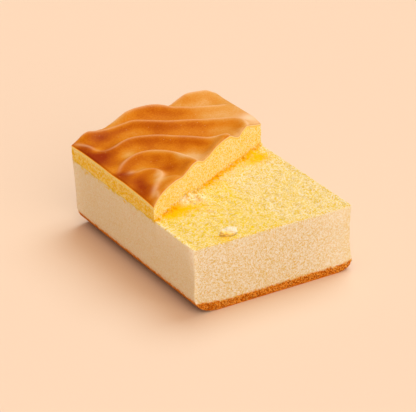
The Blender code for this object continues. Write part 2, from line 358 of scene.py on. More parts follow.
def spongeCrumb(name, eggy):
    # egg foam sponge, cut or torn: matt rounded grains with gaps between them. Light bounces
    # about in the gaps, so they look deeper in colour and not darker
    material, tree, shader, place, fields = newMaterial(
        name, ("hollow", "openness", "yolk", "baked", "scorched", "moistAndShade", "creviceShade", "driedAndLit"))
    hollow, openness, yolk, baked, scorched, moistAndShade, creviceShade, driedAndLit = fields
    # every grain has its own tone: 0 sunk in a gap, 1 raised
    grains = addNode(tree, "ShaderNodeTexVoronoi", None,
                     {"Vector": place, "Scale": 1.0 / (crumbFinish["grainSpacing"] * mm)},
                     "Color")
    contrast = crumbFinish["grainContrast"]
    grain = addNode(tree, "ShaderNodeMath", multiplyAdd,
                    {0: grains, 1: contrast, 2: -0.5 * contrast})
    foam = addNode(tree, "ShaderNodeMath", multiplyAdd,
                   {0: grain, 1: openness, 2: crumbFinish["plainTone"]})
    # painted shade: deeper torn crags take colours nearer a gap's
    tone = addNode(tree, "ShaderNodeMath", {"operation": "MULTIPLY_ADD", "use_clamp": True},
                   {0: hollow, 1: -0.3, 2: foam})
    colours = []
    for kind in ("cream", eggy, "crust"):
        ramp = addNode(tree, "ShaderNodeValToRGB", None, {0: tone})
        stops = ramp.node.color_ramp.elements
        stops.new(crumbFinish["plainTone"])
        for stop, colour in zip(stops, crumbFinish[kind]):
            stop.color = linear(colour)
        colours.append(ramp)
    creamy, yolky, crust = colours
    crumb = addNode(tree, "ShaderNodeMix", colourMix, {0: yolk, 6: creamy, 7: yolky}, 2)
    # the deeper yellows, damp crumb and painted shade, show least on the raised grains
    sunk = addNode(tree, "ShaderNodeMath", multiplyAdd, {0: grain, 1: -0.4, 2: 1.2})
    dampAndShade, deep = (
        addNode(tree, "ShaderNodeMath", {"operation": "MULTIPLY", "use_clamp": True},
                {0: field, 1: sunk}) for field in (moistAndShade, creviceShade))
    for share, name in ((dampAndShade, "moistAndShade"), (deep, "creviceShade"), (driedAndLit, "driedAndLit")):
        crumb = addNode(tree, "ShaderNodeMix", colourMix,
                        {0: share, 6: crumb, 7: linear(crumbFinish[name])}, 2)
    crust = addNode(tree, "ShaderNodeMix", colourMix,
                    {0: scorched, 6: crust, 7: linear(crumbFinish["scorched"])}, 2)
    # the crust's edge is ragged, grain by grain
    edge = addNode(tree, "ShaderNodeMath", multiplyAdd, {0: grain, 1: 0.5, 2: baked})
    frayFrom, frayTo = crumbFinish["crustFrays"]
    crustShare = addNode(tree, "ShaderNodeMapRange", smoothStep, {0: edge, 1: frayFrom, 2: frayTo})
    colour = addNode(tree, "ShaderNodeMix", colourMix, {0: crustShare, 6: crumb, 7: crust}, 2)
    setInputs(tree, shader, {"Base Color": colour, "Roughness": crumbFinish["roughness"], **airy})
    return material


dryCrumbFinish = {"pale": "#FFF4C8", "yellow": "#F8DC80", "deep": "#F4BC00", "patch": 0.6}


def driedCrumb():
    # crumbs that have dried out on the torn top: paler than the sponge, and quite matt
    material, tree, shader, place, (moistAndShade, heaped) = newMaterial("driedCrumb", ("moistAndShade", "heaped"))
    patches = addNode(tree, "ShaderNodeTexNoise", None,
                      {"Vector": place, "Scale": 1.0 / (dryCrumbFinish["patch"] * mm)})
    share = addNode(tree, "ShaderNodeMapRange", None, {0: patches, 1: 0.4, 2: 0.6})
    colour = addNode(tree, "ShaderNodeMix", colourMix,
                     {0: share, 6: linear(dryCrumbFinish["pale"]),
                      7: linear(dryCrumbFinish["yellow"])}, 2)
    # crumbs that lie on the deep yellow, partly damp crumb and partly painted shade, take its
    # colour
    soaked = addNode(tree, "ShaderNodeMath", {"operation": "SUBTRACT", "use_clamp": True},
                     {0: moistAndShade, 1: heaped})
    colour = addNode(tree, "ShaderNodeMix", colourMix,
                     {0: soaked, 6: colour, 7: linear(dryCrumbFinish["deep"])}, 2)
    setInputs(tree, shader, {"Base Color": colour, "Roughness": 0.95, **airy})
    return material


skinFinish = {
    # how brown the egg looks, as (toast, colour), where toast also carries painted shade: 0 is
    # plain gold, 1 well browned
    "browning": ((-2.0, "#DEB074"), (-1.0, "#D59640"), (0.0, "#CE7E14"), (1.0, "#B86004"),
                 (2.7, "#903000")),
    "paintedHighlight": "#EFCDA8",   # painted highlight on the thin ridges and along the skin's cut rim
    "cutEdge": "#F59C0C",     # the skin's own thickness where it is cut
    "speck": "#E8BC88",
    "roughness": 0.42,
    "shine": 0.03,
    # the slow mottle and the fine grain of the baked egg: size in mm, and how much they brown
    "mottle": (5.0, 1.2),
    "grain": (0.6, 1.6),
    "bump": (0.35, 0.06),     # strength, and height in mm, of the fine grain
    # burst bubbles: mm from one to the next, from its edge to its middle, how pale
    "speckSpacing": 2.2,
    "speckSize": (0.1, 0.04),
    "speckShare": 0.5,
}


def bakedEggSkin():
    # thin yolk-rich batter browned under the grill: a satin skin, golden in the valleys and
    # toasted on the slopes below the crests, where painted shade darkens it further; the crests
    # carry a painted highlight
    material, tree, shader, place, (toastAndShade, paintedHighlight, cutEdge) = newMaterial(
        "bakedEggSkin", ("toastAndShade", "paintedHighlight", "cutEdge"))
    brownAndShade, added = toastAndShade, 0.0
    for size, share in (skinFinish["mottle"], skinFinish["grain"]):
        grain = addNode(tree, "ShaderNodeTexNoise", None,
                        {"Vector": place, "Scale": 1.0 / (size * mm), "Detail": 2.0})
        brownAndShade = addNode(tree, "ShaderNodeMath", multiplyAdd, {0: grain, 1: share, 2: brownAndShade})
        added += share / 2.0
    # what the two noises add on average is taken off again
    lowest, highest = skinFinish["browning"][0][0], skinFinish["browning"][-1][0]
    brownAndShadeLevel = addNode(tree, "ShaderNodeMapRange", None,
                        {0: brownAndShade, 1: lowest + added, 2: highest + added})
    ramp = addNode(tree, "ShaderNodeValToRGB", None, {0: brownAndShadeLevel})
    stops = ramp.node.color_ramp.elements
    for at, _ in skinFinish["browning"][1:-1]:
        stops.new((at - lowest) / (highest - lowest))
    for stop, (at, colour) in zip(stops, skinFinish["browning"]):
        stop.color = linear(colour)
    dots = addNode(tree, "ShaderNodeTexVoronoi", None,
                   {"Vector": place, "Scale": 1.0 / (skinFinish["speckSpacing"] * mm)})
    edge, middle = skinFinish["speckSize"]
    specks = addNode(tree, "ShaderNodeMapRange", smoothStep,
                     {0: dots, 1: edge, 2: middle, 4: skinFinish["speckShare"]})
    colour = ramp
    # the painted highlight, the pale specks and the cut edge's colour go over the browning
    for share, name in ((paintedHighlight, "paintedHighlight"), (specks, "speck"), (cutEdge, "cutEdge")):
        colour = addNode(tree, "ShaderNodeMix", colourMix,
                         {0: share, 6: colour, 7: linear(skinFinish[name])}, 2)
    strength, height = skinFinish["bump"]
    bump = addNode(tree, "ShaderNodeBump", None,
                   {"Height": grain, "Strength": strength, "Distance": height * mm})
    setInputs(tree, shader, {"Base Color": colour, "Normal": bump,
                             "Roughness": skinFinish["roughness"],
                             "Specular IOR Level": skinFinish["shine"]})
    return material


skin = {
    "columns": 230,
    "rows": 190,
    "wallLevels": 40,
    "footDepth": 0.9,         # how far the layer goes on down inside the slab
    # thickness along the four edges, as (distance along the edge, thickness)
    "stepRim": (
        (0, 6), (1.3, 7.3), (3.3, 8.8), (6.1, 9.9), (9.5, 10.5), (14.5, 10.9), (18.7, 10.4),
        (21.5, 11.3), (25.5, 12.8), (28.5, 12.8), (32.3, 10.8), (36, 11.3), (40.5, 12.9),
        (46, 13.6), (50.5, 13.5), (53.6, 11.6), (56.5, 10.2), (59, 11.7), (62, 12.7), (65.6, 11.3),
        (69, 10), (72, 9.1)),
    "backRim": (
        (0, 6.1), (2.3, 7.3), (5, 9), (7.5, 9.6), (11, 9), (16, 9.1), (21, 10.9), (26, 12.8),
        (31, 13.3), (37, 12.6), (43, 11.2), (48, 10.2), (52, 11.6), (56, 12.8), (60, 12.6),
        (66, 12), (69.5, 10.8), (72, 9.3)),
    "leftRim": ((29, 6.3), (38, 6.8), (52, 7.2), (62, 6.8), (71, 7), (86, 6.8), (96, 6.1)),
    "rightRim": ((66, 9.1), (71, 10.2), (83, 9.8), (100, 9.2)),
    # crests of the wrinkles as (x, y, thickness), with the long slope on their right
    "crests": (
        ((48, 98.6, 10.4), (52, 98.6, 11.6), (56, 98.8, 12.7), (61, 99, 12.4), (66, 99.2, 11.8),
         (69.5, 99.5, 10.6)),
        ((20, 97, 10.8), (26, 97, 12.7), (32, 97.3, 13), (38, 96.9, 12.5), (43, 95.3, 12.2),
         (49, 91.8, 12.2), (54, 89, 12), (60, 87.4, 11.6), (67, 86.6, 10.6)),
        ((3, 96, 8.8), (7.5, 95.4, 9.6), (12, 94.4, 9.2), (17, 93.6, 9.8), (22, 92.4, 11),
         (26.5, 90.8, 12.1), (32, 87, 12.3), (38, 82.6, 12.3), (45, 79.3, 12.3),
         (52.5, 75.6, 12.2), (58, 72.9, 12.4), (62, 70.4, 12.6), (64, 66.5, 12.7),
         (62.8, 61, 12.7)),
        ((0, 96, 6.4), (1.8, 92.4, 7.9), (3.4, 87.4, 8.3), (4.9, 83.2, 7.4), (7.2, 80.4, 7.6),
         (11, 79.3, 8.9), (15, 79.3, 10.4), (19, 78.6, 11.3), (23.5, 76, 12), (28.5, 72.8, 12.3),
         (33, 68.8, 12.4), (38, 64.8, 12.5), (42.5, 60.4, 12.6), (47, 57.8, 12.8),
         (51.5, 55.6, 13.3)),
        ((2.5, 61, 6.9), (5.6, 64.2, 8), (9.2, 65.9, 9.2), (13.5, 66.1, 10.5), (18, 64.7, 11.3),
         (22, 61.4, 11.8), (25.2, 57, 12.1), (27.2, 51, 12.5), (28.8, 44, 12.8)),
        ((3.5, 58.5, 7), (7, 55.3, 8.4), (10.8, 54.2, 9.3), (13.4, 52, 9.8), (14.4, 48.5, 9.9),
         (12.8, 45, 9.7), (9, 41.2, 9.3), (5.6, 37.2, 8.8), (3.4, 32, 8.6)),
        ((11.5, 42.4, 9.8), (14.5, 41.2, 10.4), (17, 39.4, 10.8), (18.4, 37.8, 10.9)),
    ),
    "nearSlope": 6.5,         # length over which a wrinkle falls on its long side
    "farSlope": 2.8,
    "fallPower": 1.35,        # 1 would make its crest pointed, 2 rounded
    "bendBlend": 0.25,        # how softly a crest takes its bends
    "crestBlend": 0.35,
    # thickness in the valleys: at the left, then more towards the right as (how much, from,
    # over this width), and more at the step as (how much, over this width, over this depth)
    "valleyLeft": 6.6,
    "valleyRight": ((1.5, 0.0, 20.0), (1.2, 50.0, 18.0)),
    "valleyAtStep": (1.6, 12.0, 14.0),
    "backThickness": 10.0,    # on average, along the back edge
    "rimReach": 4.0,
    "rimDroop": (0.3, 0.4),   # how far the cut edges droop, and over what width
    "relief": {"Grain Spacing": 0.85 * mm, "Gap Depth": 0.09 * mm, "Crag Width": 1.3 * mm,
               "Crag Depth": 0.12 * mm, "Crag Stretch": 1.2},
    "fullHeight": 4.0,        # a wrinkle that stands this high is fully browned and shaded, with its painted crest highlight at full strength
    "brownAndShadeBand": (3.1, 2.2),  # the band of browning and painted shade: its distance from the crest, and its width
    # how strongly each wrinkle is browned below its crest, with painted shade on that slope
    "crestToastAndShade": (0.5, 0.7, 1.25, 1.1, 1.0, 1.1, 1.2),
    "crestHighlight": (0.68, 0.68, 0.6, 0.6, 0.6, 0.35, 0.08),    # and how strong the painted highlight on its crest is
    "crestFade": (0.6, 0.3, 12.0),    # this share of it, and more within this of the step
    # places browned more, or less, as (x, y, radius, toast), partly painted shade and painted
    # light
    "toastAndShadeSpots": (
        (22, 70, 3.5, 0.5), (4, 76, 2.5, 0.8), (18, 90, 3.5, 0.5), (54, 98, 2.5, 0.7),
        (4, 94, 2.5, -0.7), (0, 88, 3.5, 0.8), (52, 76, 3.5, -0.6), (5.5, 50.5, 2.6, 0.8),
        (28, 94, 3.5, -0.6), (22, 44, 2.5, 0.6), (14, 58, 3.5, 0.4), (4, 60, 2.5, 0.5),
        (18, 64, 3.5, -0.5), (62, 66, 2.5, -0.6), (42, 80, 5, -0.5), (66, 92, 3.5, 0.7),
        (32, 80, 3.5, 0.6), (10, 90, 2.5, 0.8), (32, 62, 2.5, 0.7), (10, 64, 3.5, 0.4),
        (4.8, 52.6, 2.2, -1.2), (4, 44, 2.5, 1.1), (0, 48, 3.5, -1.7), (2.8, 58.8, 1.8, 0.6),
        (0.8, 38.5, 2.2, 0.9), (3.2, 34.5, 1.8, -1.1), (1.5, 29.5, 2.2, -0.9), (22, 62, 3.5, -1.3),
        (18, 58, 2.5, 0.9), (32, 70, 3.5, -0.7), (26, 86, 3.5, -0.6), (2, 64, 2.5, -0.9),
        (28, 52, 5, -0.8), (6.8, 32.2, 2.2, 0.8), (0, 78, 9, 2.9), (0, 48, 9, 2.2),
        (12.5, 90.5, 4, 1.2), (20, 50.5, 4, 1.6), (2.2, 41, 2.2, 0.5), (4.9, 46.6, 2.4, 0.5),
        (2.5, 58, 4, 1.1), (60, 65.5, 4, 1), (30, 53, 6, -3), (10, 43, 4, -2.6), (5, 83, 2.5, -2),
        (20, 98, 6, -1.9), (12.5, 48, 2.5, -1.8), (12.5, 70.5, 4, -1.6), (45, 58, 4, -1.6),
        (10, 55.5, 4, -1.4), (50, 95.5, 4, -1.2)),
    "toastAdded": 0.15,       # all over
    "paleFrom": 44.0,         # right of this the skin is golder,
    "palerRight": (1.5, 16.0),     # by this much, reached over this width
    "palerAtStep": (0.75, 3.0),    # the same along the step
    # painted highlights: the glare at the right end, and pale patches on the last wrinkles, as (x,
    # y, radius, how much)
    "highlightSpots": ((69.5, 71.5, 4.5, 1), (6.4, 57.2, 1.7, 0.35), (13.4, 46.8, 1.8, 0.35)),
    # the painted highlight stripe down the last wrinkle's crest, as (x, y, how much)
    "highlightStripe": (
        (14.2, 49.5, 0.25), (13.4, 45.8, 0.5), (9.6, 42, 0.3), (6.3, 38.6, 0.4), (4, 35.6, 0.4),
        (3.2, 33, 0.1)),
    "highlightStripeWidth": 1.4,
    # the skin's own edge as (depth below the top, how far it stands in from the cut)
    "edge": (
        (0, 0.3), (0.12, 0.1), (0.26, 0), (0.45, 0), (0.65, 0.08), (0.9, 0.14), (1.25, 0.08),
        (1.6, 0)),
    "edgeHeight": 0.45,       # thickness of the browned skin where it is cut
    # how strongly the painted shade in the crease at the layer's foot shows along the step, as (x,
    # share)
    "footLine": (
        (0, 0.9), (10, 0.8), (14, 0.3), (18, 0.3), (22, 0.1), (28, 0.3), (33, 0.9), (60, 0.9),
        (64, 0.4), (72, 0.6)),
}


def smoothLine(points, pieces=8):
    # a rounded line through the points (Catmull-Rom)
    points = np.array(points)
    padded = np.vstack((2 * points[0] - points[1], points, 2 * points[-1] - points[-2]))
    line = []
    for before, start, end, after in zip(padded, padded[1:], padded[2:], padded[3:]):
        for t in np.arange(pieces) / pieces:
            line.append(0.5 * (2 * start + (end - before) * t
                               + (2 * before - 5 * start + 4 * end - after) * t ** 2
                               + (3 * start - before - 3 * end + after) * t ** 3))
    line.append(points[-1])
    return np.array(line)


def readCrest(x, y, crest):
    # distance from the crest, side of it (1 the long slope, -1 the short one), its height
    line = smoothLine(crest)
    start, run = line[:-1, None, :], (line[1:] - line[:-1])[:, None, :]
    length = np.hypot(run[..., 0], run[..., 1])
    stepX, stepY = x.ravel() - start[..., 0], y.ravel() - start[..., 1]
    t = np.clip((stepX * run[..., 0] + stepY * run[..., 1]) / length ** 2, 0.0, 1.0)
    awayX, awayY = stepX - t * run[..., 0], stepY - t * run[..., 1]
    distance = np.hypot(awayX, awayY)
    side = (run[..., 1] * awayX - run[..., 0] * awayY) / (length * np.maximum(distance, 1e-6))
    nearest = distance.min(axis=0)
    weight = np.exp(-(distance - nearest) / (skin["bendBlend"] * (1.0 + nearest)))
    weight /= weight.sum(axis=0)
    height = start[..., 2] + t * run[..., 2]
    return [(weight * item).sum(axis=0).reshape(x.shape) for item in (distance, side, height)]


def valleyThickness(x, y):
    fromStep = y - stepLine(x)
    thickness = skin["valleyLeft"] + sum(more * ease((x - start) / width)
                                         for more, start, width in skin["valleyRight"])
    more, width, depth = skin["valleyAtStep"]
    return thickness + more * ease(x / width) * ease(1.0 - fromStep / depth)


def wrinkles(x, y):
    # thickness of the wrinkled layer, how toasted its skin is with painted shade on the slopes
    # below the crests, and the painted highlight lines on the crests
    valley = valleyThickness(x, y)
    total, shaded, line = np.zeros((3,) + x.shape)
    for crest, browned, pale in zip(skin["crests"], skin["crestToastAndShade"], skin["crestHighlight"]):
        distance, side, height = readCrest(x, y, crest)
        near = (side + 1.0) / 2.0
        width = skin["farSlope"] + (skin["nearSlope"] - skin["farSlope"]) * near
        rise = np.maximum(height - valley, 0.0) * np.exp(-(distance / width) ** skin["fallPower"])
        total += np.exp(rise / skin["crestBlend"]) - 1.0
        standing = np.clip((height - valley) / skin["fullHeight"], 0.0, 1.0)
        bandAt, bandWidth = skin["brownAndShadeBand"]
        # browning, with painted shade, on the long slope below the crest
        browned = browned * standing * near ** 1.5 * hump(distance - bandAt, bandWidth)
        shaded += browned ** 3
        # painted highlight along the crest
        line = np.maximum(line, pale * np.minimum(2.5 * standing, 1.0)
                          * hump(distance, 1.1 - 0.3 * near))
    return valley + skin["crestBlend"] * np.log1p(total), np.cbrt(shaded), line


layerBack = cake["slabHeight"] + skin["backThickness"]


def nearRim(distance):
    return hump(np.maximum(distance, 0.0), skin["rimReach"])


def skinTop(x, y):
    # the wrinkled surface drawn to the four rims of the layer, for a grid of points
    width = cake["width"]
    along = np.linspace(25.0, 105.0, 320)
    leftLift = softProfileAt(skin["leftRim"], along) - wrinkles(0 * along, along)[0]
    rightLift = softProfileAt(skin["rightRim"], along) - wrinkles(0 * along + width, along)[0]

    def withSides(thickness, x, y):
        return (thickness + np.interp(y, along, leftLift) * nearRim(x)
                + np.interp(y, along, rightLift) * nearRim(width - x))

    thickness, toastAndShade, line = wrinkles(x, y)
    thickness = withSides(thickness, x, y)
    acrossTop = x[:, 0]
    front = stepLine(acrossTop)
    back = backLine(acrossTop, layerBack)
    frontLift = softProfileAt(skin["stepRim"], acrossTop, 0.7) - withSides(
        wrinkles(acrossTop, front)[0], acrossTop, front)
    backLift = softProfileAt(skin["backRim"], acrossTop) - withSides(
        wrinkles(acrossTop, back)[0], acrossTop, back)
    fromStep = y - front[:, None]
    thickness += frontLift[:, None] * nearRim(fromStep)
    thickness += backLift[:, None] * nearRim(back[:, None] - y)
    toastAndShade = toastAndShade + sum(spotsAt(skin["toastAndShadeSpots"], x, y)) + skin["toastAdded"]
    paler, fade = skin["palerRight"]
    toastAndShade = toastAndShade - paler * ease((x - skin["paleFrom"]) / fade)
    paler, fade = skin["palerAtStep"]
    toastAndShade = toastAndShade - paler * hump(fromStep, fade)
    behind, added, reach = skin["crestFade"]
    line = line * (behind + added * hump(fromStep, reach))
    # painted highlights: the stripe down the last wrinkle, and the listed spots
    distance, _, amount = readCrest(x, y, skin["highlightStripe"])
    line = np.maximum.reduce([line, amount * hump(distance, skin["highlightStripeWidth"])]
                             + spotsAt(skin["highlightSpots"], x, y))
    return thickness, toastAndShade, line


def makeSkinLayer(crumb, browned):
    columns, rows, levels = skin["columns"], skin["rows"], skin["wallLevels"]
    places, lid, walls, rim = wrappedBlock(columns, rows, levels)
    across, share, level = places.T
    onTop = (columns + 1) * (rows + 1)
    x = cake["width"] * across
    front = stepLine(x)
    y = front + share * (backLine(x, layerBack) - front)
    grid = (columns + 1, rows + 1)
    thickness, toastAndShade, line = (field.ravel() for field in skinTop(
        x[:onTop].reshape(grid), y[:onTop].reshape(grid)))
    edge = np.minimum.reduce((x, cake["width"] - x, y - front,
                              (1.0 - share) * (backLine(x, 0.0) - front)))[:onTop]
    droop, droopWidth = skin["rimDroop"]
    thickness = thickness - droop * hump(np.maximum(edge, 0.0), droopWidth)
    # the walls have rows at the depths of the skin's edge, then even ones down to their foot
    rimPoint = np.tile(rim, levels)
    height = thickness[rimPoint]
    fine = np.array(skin["edge"])[:-1, 0]
    last = len(fine) - 1
    wallLevel = level[onTop:].astype(int)
    lower = (wallLevel - last) / (levels - last)
    wallHeight = height + skin["footDepth"]
    below = np.zeros(len(places))
    below[onTop:] = np.where(wallLevel <= last, fine[np.minimum(wallLevel, last)],
                             fine[-1] + (wallHeight - fine[-1]) * lower)
    z = cake["slabHeight"] + np.concatenate((thickness, height)) - below
    y = front + share * (backLine(x, z) - front)
    # draw the walls in under the skin's edge, and inside the slab where they go on down
    outX = (across == 1.0).astype(float) - (across == 0.0)
    outY = (share == 1.0).astype(float) - (share == 0.0)
    inset = profileAt(skin["edge"], below)
    buried = 0.3 * (z < cake["slabHeight"] - 0.01)
    x = x - (inset + buried) * outX
    y = y - np.where(outY > 0, inset + buried, inset) * outY
    points = np.column_stack((x, y, z))
    toastAndShade, line = (np.concatenate((field, field[rimPoint])) for field in (toastAndShade, line))
    onWall = np.arange(len(z)) >= onTop
    uneven = blotchesOn(onWall, points, 1.6)
    streaks = blotchesOn(onWall, points * (1.0, 0.5, 1.0), 1.4, 7.0)
    flecks = blotchesOn(onWall, points, 0.7, 3.0)
    onLeft, onStep = onWall & (across == 0.0), onWall & (share == 0.0)
    rise = z - cake["slabHeight"]
    # left: a pale strip under the skin, then a deeper yellow band that frays out below
    strip = ease((below - 0.5) / 0.3) * ease((1.9 + 0.7 * uneven - below) / 0.8)
    band = ease((below - 1.3 - 0.4 * streaks) / 0.9)
    yolk = np.where(onLeft, 1.0 - 0.2 * strip, 1.0)
    moistAndShade = np.where(onLeft, 0.1 + 0.75 * band * ease(0.55 + 0.7 * flecks + 0.5 * streaks), 0.0)
    # on the step: deeper yellow low on the wall, painted shade of the crease at its foot
    moistAndShade = np.where(onStep, 0.45 * hump(rise, 0.7), moistAndShade)
    pores = ease(rise / 0.8) * ease((below - 0.9) / 0.6)
    fields = {
        "isSkin": below < skin["edgeHeight"],
        "toastAndShade": toastAndShade,
        # painted highlight: a pale line along the skin's cut edge on the walls other than the
        # left, where the edge catches the light
        "paintedHighlight": np.where(onLeft | ~onWall, line, 0.65),
        "cutEdge": onLeft * ease((below - 0.05) / 0.1),
        "yolk": yolk,
        "openness": pores * np.where(onLeft, 0.5, 1.0),
        "torn": 0.3 * pores,
        "moistAndShade": moistAndShade,
        # painted shade: deep yellow in the crease at the layer's foot along the step, and in a
        # line under the skin's overhanging edge
        "creviceShade": onStep * np.maximum(
            ease((0.5 + 1.2 * flecks + 0.9 * uneven - rise) / 0.4)
            * profileAt(skin["footLine"], x), 0.6 * hump(below - 0.75, 0.2)),
    }
    faces = np.vstack((lid.reshape(-1, 4), walls))
    layer = makeMesh("tigerSkinLayer", points, faces, fields)
    print("skin layer", len(faces), "faces")
    return runNodeTree(layer, reliefTree, {**skin["relief"], "Crumb": crumb, "Skin": browned})


slab = {
    "columns": 190,
    "rows": 230,
    "wallLevels": 68,
    # side walls as (height, how far the wall stands inside the slice's width)
    "leftWall": (
        (0, 10), (0.4, 7.4), (1.3, 4.5), (2.5, 2.5), (3.6, 1.4), (5.2, 0.5), (7.6, 0.05),
        (13.5, 0.3), (20.5, 0.2), (28.2, 0)),
    "rightWall": (
        (0, 6.2), (0.4, 3.6), (1.3, 1.3), (2.5, 0), (3.6, -0.5), (5.2, -0.2), (7.6, 0.3),
        (13.5, 0.9), (20.5, 0.8), (28.2, 0)),
    "edgeRound": 0.9,         # how far the torn top's edges are rounded
    "cornerRound": 0.6,       # the same for the upright corners
    "dipDepth": 0.6,          # slow dips of the torn top
    "dipSpread": 0.21,        # dips to the millimetre
    "groove": (0.4, 0.9, 0.45),  # along the step's foot: distance from it, width, depth
    # torn crumb heaped against the step, as (x, height)
    "footRise": (
        (0, 0.1), (8, 0.8), (13, 1.3), (18, 1.6), (24, 1.2), (30, 0.5), (34, 0.1), (46, 0),
        (54, 0.2), (60, 0.1), (64, 0.6), (70, 0.2), (72, 0)),
    # deep yellow patches as (x, y, radius, how much)
    "moistPatches": (
        (10, 32, 3.4, 1), (15, 33.2, 3, 1), (19.5, 31.5, 2.8, 0.8), (7, 30.5, 3, 0.7),
        (60.5, 55, 4, 0.75), (66, 55.5, 3.5, 0.6), (65, 61.5, 2.8, 0.5), (65.4, 58, 3, 0.45),
        (54, 54, 3, 0.4), (48, 52, 2.6, 0.35), (15.5, 2.5, 2.6, 0.6), (24, 28, 3, 0.3),
        (38, 45, 3.5, 0.35)),
    # hollows of the torn top as (x, y, radius, depth)
    "dips": ((12, 31.5, 5, 0.9), (62, 55.5, 4.5, 0.6), (31, 23.5, 2.2, 0.25)),
    # heaps of torn crumbs as (x, y, radius, height)
    "heaps": (
        (21.5, 38.8, 2.6, 1.8), (25.3, 36.8, 1.9, 1.4), (17.5, 37.4, 1.7, 1),
        (25.5, 32, 1.2, 0.45), (23, 26, 1.2, 0.35), (3, 30.6, 1.2, 0.5), (29.5, 41.5, 1.2, 0.5)),
    "coarseFrom": 42.0,       # right of this the torn top is craggy
    "crustFront": 3.4,        # height of the base crust on the cut faces
    # how much higher it is at their left and right corner, and over what width
    "crustRise": ((1.6, 9.0), (0.8, 3.0)),
    "crustLeft": 5.8,
    "crustRight": 5.0,
    "scorchedBelow": 4.6,     # the crust on the long side
    "relief": {"Grain Spacing": 0.95 * mm, "Gap Depth": 0.05 * mm, "Crag Width": 1.1 * mm,
               "Crag Depth": 0.09 * mm, "Crag Stretch": 1.1},
}


